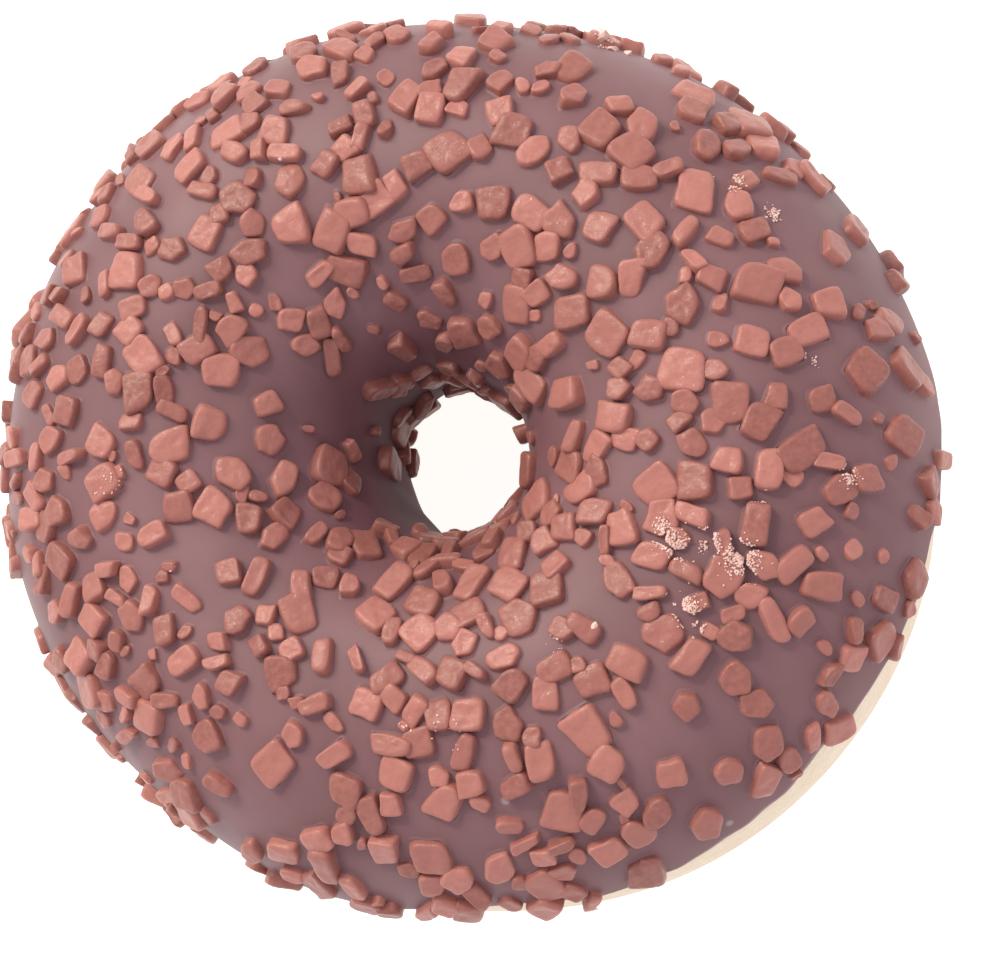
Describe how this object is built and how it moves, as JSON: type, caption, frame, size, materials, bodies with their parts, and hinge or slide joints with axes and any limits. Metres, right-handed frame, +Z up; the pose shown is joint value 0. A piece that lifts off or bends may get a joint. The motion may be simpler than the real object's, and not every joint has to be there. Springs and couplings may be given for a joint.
{
  "type": "iced ring doughnut with chocolate chips",
  "caption": "Ring doughnut lying flat: fried dough ring with a brown icing coat over the top and sides, scattered with small milk chocolate chips.",
  "frame": {"origin": "middle of the foot, on the surface that the doughnut lies on", "axes": "+Z up through the hole, +X to the right and +Y away from the viewer, who sees the bare dough at the right front"},
  "size_m": [0.0986, 0.0896, 0.0354],
  "materials": {
    "dough": "soft, matt, golden fried dough",
    "icing": "set brown icing with a dull gloss, and milk chocolate chips"
  },
  "bodies": {
    "root": {"dough": "dough", "icing": "icing"}
  },
  "joints": []
}
